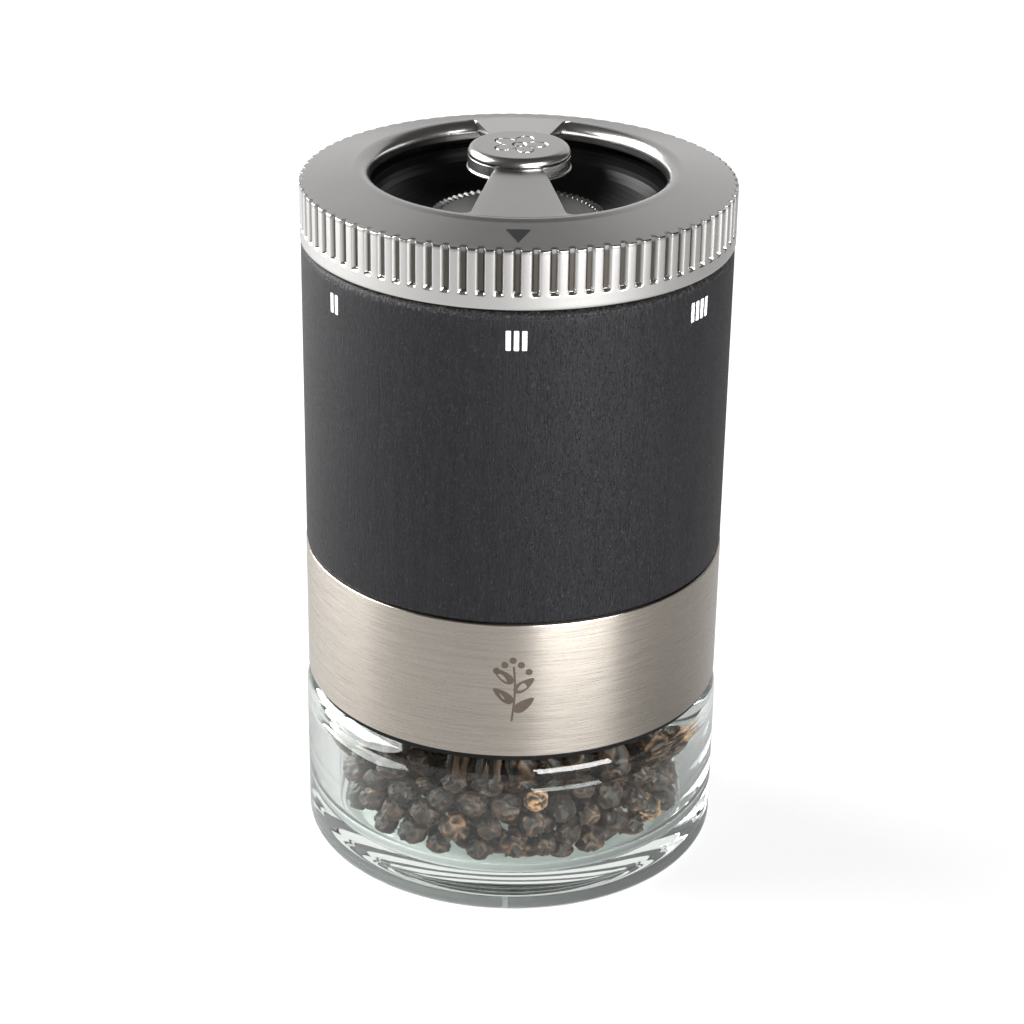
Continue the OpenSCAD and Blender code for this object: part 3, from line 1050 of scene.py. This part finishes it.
        def carve(angle: float, r: float, z: float) -> tuple[float, float]:
            """Cuts the flower's lines into the flat top.

            Args:
                angle: The point's angle, in radians.
                r: Its radius.
                z: Its height.

            Returns:
                The point's new radius and height.
            """
            if z < top - 0.02 or r > 5.6:
                return r, z
            petal = 1.6 + 2.6 * abs(math.cos(2.5 * angle)) ** 0.8
            line = min(abs(r - petal), abs(r - 0.95))
            return r, z - 0.26 * (1 - smoothstep(0.08, 0.17, line))

        flat = [(0.0, top)] + [(0.1 + 0.07 * i, top) for i in range(92)]
        edge = arc((width - soft, top - soft), (soft, soft), 86, 0, 12)
        skirt = [(width, base + 0.22), (width - 0.08, base + 0.04), (width - 0.25, base)]
        below = [(peg, base), (peg, peg_foot), (0.0, peg_foot)]
        return Turned("hub_cap_turned", flat + edge + skirt + below, round_turn(480), carve, True).make()

    def _pointer(self) -> bpy.types.Object:
        """Returns the dark triangle let into the ring's face, which points to the setting."""
        slope = self.crown / (self.edge_radius - self.opening)
        inner, length, half_width = 27.4, 3.2, 1.7

        def lift(r: float, depth: float) -> float:
            """Works out a height on the ring's face.

            Args:
                r: A radius.
                depth: How far above the face.

            Returns:
                The height.
            """
            return self.face - slope * (r - self.opening) + depth

        rows = 6
        points: list[tuple[float, float, float]] = []
        for depth in (0.05, -0.1):
            for k in range(rows + 1):
                r = inner + length * k / rows
                half = half_width * (1 - k / rows) + 0.02
                points += [(-half, -r, lift(r, depth)), (half, -r, lift(r, depth))]
        n = 2 * (rows + 1)
        faces: list[tuple[int, ...]] = []
        for k in range(rows):
            a = 2 * k
            faces += [(a, a + 1, a + 3, a + 2), (n + a, n + a + 2, n + a + 3, n + a + 1)]
            faces += [(a, a + 2, n + a + 2, n + a), (a + 1, n + a + 1, n + a + 3, a + 3)]
        faces += [(0, n, n + 1, 1), (n - 2, n - 1, 2 * n - 1, 2 * n - 2)]
        return new_object("pointer", mesh_from("pointer", points, faces), 30.0)


@dataclass
class Grip:
    """The stained wooden tube with its setting marks."""

    finishes: Finishes
    radius: float = reach("wood_grip")
    foot: float = low("wood_grip")
    top: float = high("wood_grip")
    bevel: float = 0.85
    counterbore: float = 30.6
    counterbore_deep: float = 10.0

    def build(self) -> None:
        """Builds the tube and its marks."""
        wood = self.finishes.by_slot["black_wood"]
        dress(self._tube(), wood, Body.CASING, "black_wood", "wood_grip")
        for i in range(SETTINGS):
            piece = self._mark(i + 1, STEP * (FIRST_SETTING + i))
            dress(piece, self.finishes.mark_white, Body.CASING, "white_plastic")

    def _tube(self) -> bpy.types.Object:
        """Returns the tube, whose upper edge is slightly torn by the saw."""
        bore = reach("glide_ring") + 0.4
        counter = self.counterbore
        ledge = self.top - self.counterbore_deep

        def fray(angle: float, r: float, z: float) -> tuple[float, float]:
            """Roughens the bevel.

            Args:
                angle: The point's angle, in radians.
                r: Its radius.
                z: Its height.

            Returns:
                The point's new radius and height.
            """
            if z < self.top - self.bevel - 0.25 or r < counter + 0.4:
                return r, z
            wave = math.sin(37 * angle) + math.sin(83 * angle + 1.3) + math.sin(191 * angle + 0.4)
            fine = math.sin(409 * angle + 2.0 * z) + math.sin(613 * angle)
            return r - 0.03 * (1 + 0.33 * wave), z - 0.02 * (1 + 0.5 * fine)

        outline = arc((self.radius - 0.35, self.foot + 0.35), (0.35, 0.35), -90, 0, 5)
        outline += between((self.radius, self.foot + 0.5), (self.radius, self.top - self.bevel - 0.2), 30)
        outline += arc((self.radius - self.bevel, self.top - self.bevel), (self.bevel, self.bevel), 0, 90, 9)
        outline += [(counter, self.top), (counter, ledge), (bore, ledge), (bore, self.foot)]
        return Turned("wood_grip_turned", outline, round_turn(1440), fray, sharp=50.0).make()

    def _mark(self, bars: int, turn: float) -> bpy.types.Object:
        """Returns one group of upright bars.

        Args:
            bars: The number of bars.
            turn: The group's place, in degrees from the front towards +X.

        Returns:
            The group as one piece.
        """
        width, gap, tall = 0.72, 0.44, 3.0
        pitch = width + gap
        height = self.top - 4.2
        half, rise = width / 2, tall / 2
        corners = [(-half, -rise), (half, -rise), (half, rise), (-half, rise)]
        parts = []
        for i in range(bars):
            shift = (i - (bars - 1) / 2) * pitch
            shape = softened([(x + shift, y) for x, y in corners], 0.12)
            parts.append(wrapped_plate(f"bar_{bars}_{i}", shape, self.radius, height, turn))
        return joined(f"setting_mark_{bars}", parts)


@dataclass
class Band:
    """The brushed steel sleeve with an etched sprig."""

    finishes: Finishes
    radius: float = reach("steel_band")
    foot: float = low("steel_band")
    top: float = high("steel_band")
    wall: float = 0.8
    sprig_up: float = 6.2
    sprig_scale: float = 1.3

    def build(self) -> None:
        """Builds the sleeve and the sprig."""
        sleeve = self._sleeve()
        dress(sleeve, self.finishes.by_slot["brushed_band"], Body.DRIVE, "brushed_band", "steel_band")
        dress(self._sprig(), self.finishes.etched, Body.DRIVE, "brushed_band")

    def _sleeve(self) -> bpy.types.Object:
        """Returns the sleeve with softened edges."""
        inside = self.radius - self.wall
        corners = [(inside, self.foot), (self.radius, self.foot), (self.radius, self.top), (inside, self.top)]
        return Turned("steel_band_turned", softened(corners, 0.22, 5), round_turn(512)).make()

    def _sprig(self) -> bpy.types.Object:
        """Returns a plain sprig of leaves and berries."""
        height = self.foot + self.sprig_up
        parts = []

        def plate(label: str, outline: Sequence[Point]) -> None:
            """Adds one etched shape.

            Args:
                label: The shape's name.
                outline: Its outline before it is scaled.
            """
            grown = [(x * self.sprig_scale, y * self.sprig_scale) for x, y in outline]
            parts.append(wrapped_plate(label, grown, self.radius, height, 0.0, 0.015, 2))

        stem = [(0.10 + 0.35 * math.sin(t * 2.6), 7.2 * t) for t in (i / 14 for i in range(15))]
        plate("stem", [(x - 0.13, y) for x, y in stem] + [(x + 0.13, y) for x, y in reversed(stem)])
        for k, (y, side) in enumerate(((1.2, 1), (2.4, -1), (3.8, 1), (5.0, -1))):
            lean = math.radians(38 if side > 0 else 142)
            along, across = math.cos(lean), math.sin(lean)
            leaf = []
            for t in round_turn(24):
                u, v = 1.55 + 1.45 * math.cos(t), 0.62 * math.sin(t) * (1 - 0.35 * math.cos(t))
                leaf.append((0.3 + u * along - v * across, y + u * across + v * along))
            plate(f"leaf_{k}", leaf)
        for k, (x, y) in enumerate(((0.2, 8.0), (-0.75, 7.4), (1.15, 7.4), (-1.7, 6.6), (2.05, 6.5))):
            berry = [(x + 0.42 * math.cos(t), y + 0.42 * math.sin(t)) for t in round_turn(20)]
            plate(f"berry_{k}", berry)
        return joined("etched_sprig", parts)


@dataclass
class GrindingHead:
    """The grinding cone, whose toothed face shows in the outlet."""

    finishes: Finishes
    face: float = high("rotor")
    foot: float = low("rotor")
    radius: float = reach("rotor")
    teeth: int = 72
    half_angle: float = 20.0
    rim_inside: float = 12.25
    pattern_radius: float = 9.0

    def build(self) -> None:
        """Builds the cone."""
        dress(self._rotor(), self.finishes.by_slot["tool_steel"], Body.DRIVE, "tool_steel", "rotor")

    def _rotor(self) -> bpy.types.Object:
        """Returns the grinding cone with cut teeth and a plain pattern on its face."""
        slope = math.tan(math.radians(self.half_angle))
        small = self.radius - (self.face - self.foot) * slope

        def cut(angle: float, r: float, z: float) -> tuple[float, float]:
            """Cuts the slanting teeth and raises the pattern.

            Args:
                angle: The point's angle, in radians.
                r: Its radius.
                z: Its height.

            Returns:
                The point's new radius and height.
            """
            tooth = 0.5 + 0.5 * math.cos(self.teeth * (angle + 0.02 * (self.face - z)))
            if z > self.face - 0.06:
                if r > self.rim_inside:
                    return r, z - 0.4 * tooth
                off = abs(r - self.pattern_radius)
                bar = smoothstep(0.75, 0.85, math.cos(6 * angle)) * (1 - smoothstep(1.1, 1.3, off))
                return r, z - 0.12 + 0.12 * bar
            if r > small - 0.1:
                return r - 0.5 * tooth * smoothstep(small - 0.1, small + 0.4, r), z
            return r, z

        side = between((small, self.foot), (self.radius, self.face - 0.1), 16)
        rim = [(self.radius, self.face), (12.9, self.face), (12.3, self.face), (12.15, self.face - 0.35),
               (11.95, self.face - 0.35), (11.85, self.face)]
        disc = [(r, self.face) for r in np.arange(11.6, 3.7, -0.2)]
        bore = [(3.6, self.face), (3.6, self.foot)]
        angles = round_turn(self.teeth * 10)
        return Turned("rotor_cone", side + rim + disc + bore, angles, cut, sharp=40.0).make()


@dataclass
class Jar:
    """The pressed glass jar and its pepper."""

    finishes: Finishes
    radius: float = reach("glass_jar")
    mouth: float = high("glass_jar")
    shoulder: float = 27.3
    bore: float = 28.5
    mouth_radius: float = 20.5
    floor: float = 4.2
    fillet: float = 4.5
    neck: float = 25.6
    pitch: float = 4.0
    ridge_turns: float = 1.25
    foot_round: float = 2.0
    shoulder_round: float = 2.8
    mouth_round: float = 0.6
    dome_foot: float = 7.8
    dome_rise: float = 5.0
    dome_start: float = 1.0

    def build(self) -> None:
        """Builds the glass and fills it."""
        glass = self.finishes.by_slot["clear_glass"]
        dress(self._glass(), glass, Body.JAR, "clear_glass", "glass_jar")
        heap = PepperHeap(self.bore - 0.25, self.floor + 0.2, high("peppercorns"), self.fillet)
        dress(heap.make(), self.finishes.by_slot["pepper"], Body.JAR, "pepper", "peppercorns")

    def _ridge(self, angle: float, r: float, z: float) -> tuple[float, float]:
        """Raises the thread from the neck.

        Args:
            angle: The point's angle, in radians.
            r: Its radius.
            z: Its height.

        Returns:
            The point's new radius and height.
        """
        if r < self.neck - 0.05 or z < self.shoulder + 0.3:
            return r, z
        start = self.shoulder + 2.4 + self.pitch / 2
        rise = 0.0
        for turn in range(2):
            along = angle / math.tau + turn
            if along <= self.ridge_turns:
                fade = 1 - smoothstep(self.ridge_turns - 0.05, self.ridge_turns, along)
                ends = smoothstep(0, 0.05, along) * fade
                off = abs(z - start - self.pitch * along)
                rise = max(rise, 1.25 * (1 - smoothstep(0.45, 0.98, off)) * ends)
        return r + rise, z

    def _glass(self) -> bpy.types.Object:
        """Returns the jar with rounded foot, shoulder and well."""
        wall, neck, mouth, well = self.radius, self.neck, self.mouth_radius, self.bore
        foot, turn, lip = self.foot_round, self.fillet, self.mouth_round
        bend, start = self.shoulder_round, self.dome_start
        top, shoulder = self.mouth, self.shoulder
        dome = shoulder - self.dome_foot
        outline: list[Point] = [(0.0, 0.95), (8.0, 0.92), (16.0, 0.82), (22.0, 0.62)]
        outline += [(23.4, 0.3), (24.4, 0.03), (25.5, 0.0)]
        outline += arc((wall - foot, foot), (foot, foot), -90, 0, 14)
        outline += between((wall, 3.0), (wall, shoulder - bend - 0.4), 8)
        outline += arc((wall - bend, shoulder - bend), (bend, bend), 0, 88, 16)
        outline += [(neck + 0.6, shoulder), (neck + 0.15, shoulder + 0.12), (neck, shoulder + 0.5)]
        outline += between((neck, shoulder + 0.8), (neck, top - 0.8), 48)
        outline += arc((neck - lip, top - lip), (lip, lip), 0, 90, 5)
        outline += arc((mouth + lip, top - lip), (lip, lip), 90, 180, 5)
        outline += between((mouth, top - 1.5), (mouth, shoulder - 1.8), 8)
        outline += arc((mouth + start, shoulder - 1.8), (start, start), 180, 265, 5)
        outline += arc((mouth + start, dome), (well - mouth - start, self.dome_rise), 88, 0, 18)
        outline += between((well, dome - 0.5), (well, self.floor + turn + 0.2), 6)
        outline += arc((well - turn, self.floor + turn), (turn, turn), 0, -90, 16)
        outline += [(10.0, self.floor - 0.1), (5.0, self.floor - 0.2), (0.0, self.floor - 0.25)]
        return Turned("glass_jar_pressed", outline, round_turn(360), self._ridge, True, sharp=60.0).make()


@dataclass
class PepperHeap:
    """Loose peppercorns, dropped into the jar's well and left to settle."""

    well: float
    bottom: float
    top: float
    fillet: float
    count: int = 450
    seed: int = 7
    smallest: float = 2.0
    largest: float = 2.75
    shapes: int = 10
    rounds: int = 700
    fall: float = 0.12

    def make(self) -> bpy.types.Object:
        """Returns every corn as one piece, with its tone and folds stored on its points."""
        rng = np.random.default_rng(self.seed)
        size = rng.uniform(self.smallest, self.largest, self.count)
        places = self._settle(rng, size)
        kinds = []
        for balls, tris in (self._ball(4), self._ball(2)):
            kinds += [(tris, *self._wrinkle(np.random.default_rng(k), balls)) for k in range(self.shapes)]
        points, faces, tone, fold = [], [], [], []
        total = 0
        for i in range(self.count):
            seen = np.hypot(*places[i][:2]) > self.well - 5.2 or places[i][2] > self.top - 5.5
            tris, shape, crease = kinds[i % self.shapes + (0 if seen else self.shapes)]
            turn = rng.uniform(0, math.tau)
            spin = np.array(Matrix.Rotation(turn, 3, Vector(rng.normal(size=3)).normalized()))
            squash = rng.uniform(0.9, 1.0, 3)
            faces.append(tris + total)
            total += len(shape)
            points.append((shape * squash * size[i]) @ spin.T + places[i])
            pale = rng.uniform(0.75, 1.0) if rng.random() < 0.13 else rng.uniform(0.1, 0.55)
            tone.append(np.full(len(shape), pale))
            fold.append(crease)
        mesh = bpy.data.meshes.new("peppercorn_heap")
        mesh.from_pydata(np.concatenate(points) * MM, [], np.concatenate(faces).tolist())
        for label, data in (("tone", tone), ("fold", fold)):
            layer = mesh.attributes.new(label, "FLOAT", "POINT")
            layer.data.foreach_set("value", np.concatenate(data).astype(np.float32))
        return new_object("peppercorn_heap", mesh, 80.0)

    def _ball(self, level: int) -> tuple[np.ndarray, np.ndarray]:
        """Makes a unit ball.

        Args:
            level: How finely it is cut.

        Returns:
            Its points and its triangles.
        """
        bm = bmesh.new()
        bmesh.ops.create_icosphere(bm, subdivisions=level, radius=1.0)
        points = np.array([v.co[:] for v in bm.verts])
        tris = np.array([[v.index for v in f.verts] for f in bm.faces])
        bm.free()
        return points, tris

    def _settle(self, rng: np.random.Generator, size: np.ndarray) -> np.ndarray:
        """Packs the corns by pushing overlapping ones apart under a steady pull down.

        Args:
            rng: The source of the starting places.
            size: The corns' radii.

        Returns:
            The corns' centres.
        """
        angle = rng.uniform(0, math.tau, self.count)
        spread = np.sqrt(rng.uniform(0, 1, self.count)) * (self.well - 3)
        rise = rng.uniform(self.bottom + 3, self.top + 8, self.count)
        at = np.stack([spread * np.cos(angle), spread * np.sin(angle), rise], 1)
        for step in range(self.rounds):
            at[:, 2] -= self.fall * max(0.0, 1 - step / (self.rounds - 100))
            for _ in range(2):
                gap = at[:, None] - at[None]
                far = np.linalg.norm(gap, axis=2) + np.eye(self.count) * 100
                over = np.maximum(0, (size[:, None] + size[None]) * 0.97 - far)
                at += 0.25 * (gap / far[..., None] * over[..., None]).sum(1)
                self._hold(at, size)
        return at

    def _hold(self, at: np.ndarray, size: np.ndarray) -> None:
        """Keeps the corns inside the well and its rounded bottom.

        Args:
            at: The corns' centres, which are moved.
            size: The corns' radii.
        """
        flat = np.linalg.norm(at[:, :2], axis=1) + 1e-9
        limit = self.well - size
        at[:, :2] *= np.minimum(1, limit / flat)[:, None]
        at[:, 2] = np.maximum(at[:, 2], self.bottom + size)
        flat = np.linalg.norm(at[:, :2], axis=1) + 1e-9
        centre_r, centre_z = self.well - self.fillet, self.bottom + self.fillet
        out, down = flat - centre_r, centre_z - at[:, 2]
        away = np.hypot(out, down)
        bad = (out > 0) & (down > 0) & (away > self.fillet - size)
        pull = np.where(bad, (self.fillet - size) / np.maximum(away, 1e-9), 1.0)
        at[:, :2] *= np.where(bad, (centre_r + out * pull) / flat, 1.0)[:, None]
        at[:, 2] = np.where(bad, centre_z - down * pull, at[:, 2])

    def _wrinkle(self, rng: np.random.Generator, unit: np.ndarray) -> tuple[np.ndarray, np.ndarray]:
        """Folds the skin of one kind of corn.

        Args:
            rng: The source of the folds.
            unit: The points of a unit ball.

        Returns:
            The folded points, and how far each stands out of the folds, from 0 to 1.
        """
        warped = unit + 0.28 * np.sin(unit[:, [1, 2, 0]] * 4.5 + rng.uniform(0, 6, 3))
        cells = rng.normal(size=(36, 3))
        cells /= np.linalg.norm(cells, axis=1)[:, None]
        near = np.sort(np.linalg.norm(warped[:, None] - cells[None], axis=2), axis=1)
        ridge = 1 - np.clip((near[:, 1] - near[:, 0]) / 0.16, 0, 1)
        lump = np.sin(unit @ rng.normal(size=3) * 2.4 + rng.uniform(0, 6))
        height = 0.77 + 0.22 * ridge**1.2 + 0.03 * lump
        return unit * height[:, None] / 1.02, 0.04 + 0.96 * ridge


@dataclass
class CadNodes:
    """The CAD nodes. Those that no piece replaces are seen with their own meshes."""

    finishes: Finishes

    def build(self) -> None:
        """Gives each CAD node the finish of its material slot."""
        for entry in frame["record"]["subparts"]:
            node = frame["nodes"][entry["node"]]
            node.data.materials.clear()
            node.data.materials.append(self.finishes.by_slot[entry["material_slot"]])
            LOG.info("%s has the finish %s", entry["node"], entry["material_slot"])


# ---------------------------------------------------------------- studio


@dataclass(frozen=True)
class Softbox:
    """A rectangular light aimed at the middle of the mill, in metres and watts."""

    name: str
    place: Place
    size: Point
    power: float
    aim: Place = (0.0, 0.0, 0.06)

    def build(self) -> None:
        """Adds the light to the scene."""
        data = bpy.data.lights.new(self.name, "AREA")
        data.shape = "RECTANGLE"
        data.size, data.size_y = self.size
        data.energy = self.power
        lamp = bpy.data.objects.new(self.name, data)
        lamp.location = self.place
        lamp.rotation_euler = (Vector(self.aim) - Vector(self.place)).to_track_quat("-Z", "Y").to_euler()
        bpy.context.scene.collection.objects.link(lamp)


@dataclass
class Studio:
    """A pale floor, soft lights and the camera, in metres and degrees."""

    eye: Place = (-0.00026, -0.37552, 0.23218)
    down: float = 25.393
    roll: float = 0.882
    lens: float = 91.69
    floor_half: float = 4.0
    surround: Colour = (1.0, 0.94, 0.88)
    surround_strength: float = 0.12
    glass_bounces: int = 12
    lights: tuple[Softbox, ...] = (
        Softbox("window_left", (-0.68, 0.18, 0.38), (0.8, 0.6), 24.0),
        Softbox("board_right", (0.40, -0.60, 0.25), (0.54, 0.38), 13.5),
        Softbox("wall_behind", (0.0, 1.3, 0.6), (2.6, 1.2), 8.0),
    )

    def build(self) -> None:
        """Builds the whole studio, with enough bounces for the jar's thick foot to stay clear."""
        self._floor()
        self._world()
        for light in self.lights:
            light.build()
        self._camera()
        scene = bpy.context.scene
        scene.view_settings.view_transform = "Standard"
        scene.cycles.glossy_bounces = self.glass_bounces
        scene.cycles.max_bounces = self.glass_bounces + 4

    def _floor(self) -> None:
        """Adds the floor: white paper that is paler when seen directly than in reflections."""
        b = Bench("floor_paper")
        soft = b.noise(b.place(), 3.0, 2.0)
        direct = b.node("ShaderNodeLightPath").out("Is Camera Ray")
        paper = b.finish(
            Base_Color=b.tint(soft, (0.24, 0.24, 0.24), (0.26, 0.26, 0.26)),
            Roughness=0.9,
            Emission_Color=b.tint(direct, (0.12, 0.12, 0.12), (1.0, 1.0, 1.0)),
            Emission_Strength=0.66,
        )
        half = self.floor_half
        corners = [(-half, -half, 0), (half, -half, 0), (half, half, 0), (-half, half, 0)]
        mesh = bpy.data.meshes.new("floor")
        mesh.from_pydata(corners, [], [(0, 1, 2, 3)])
        floor = bpy.data.objects.new("floor", mesh)
        bpy.context.scene.collection.objects.link(floor)
        floor.data.materials.append(paper)

    def _world(self) -> None:
        """Sets a dim, slightly warm surrounding."""
        world = bpy.data.worlds.new("studio")
        world.use_nodes = True
        background = world.node_tree.nodes["Background"]
        background.inputs["Color"].default_value = (*self.surround, 1.0)
        background.inputs["Strength"].default_value = self.surround_strength
        bpy.context.scene.world = world

    def _camera(self) -> None:
        """Adds the camera."""
        data = bpy.data.cameras.new("camera")
        data.sensor_width = 36.0
        data.lens = self.lens
        data.clip_start = 0.01
        camera = bpy.data.objects.new("camera", data)
        tilt, spin = math.radians(self.down), math.radians(self.roll)
        ahead = Vector((0, math.cos(tilt), -math.sin(tilt)))
        right = Vector((1, 0, 0))
        up = right.cross(ahead)
        across = right * math.cos(spin) + up * math.sin(spin)
        upward = up * math.cos(spin) - right * math.sin(spin)
        turned = Matrix((across, upward, -ahead)).transposed().to_4x4()
        camera.matrix_world = Matrix.Translation(self.eye) @ turned
        bpy.context.scene.collection.objects.link(camera)
        bpy.context.scene.camera = camera


def main() -> None:
    """Builds the mill and its studio."""
    logging.basicConfig(level=logging.INFO, format="%(message)s")
    finishes = Finishes()
    CadNodes(finishes).build()
    SettingRing(finishes).build()
    Grip(finishes).build()
    Band(finishes).build()
    GrindingHead(finishes).build()
    Jar(finishes).build()
    Studio().build()


if __name__ == "__main__":
    main()
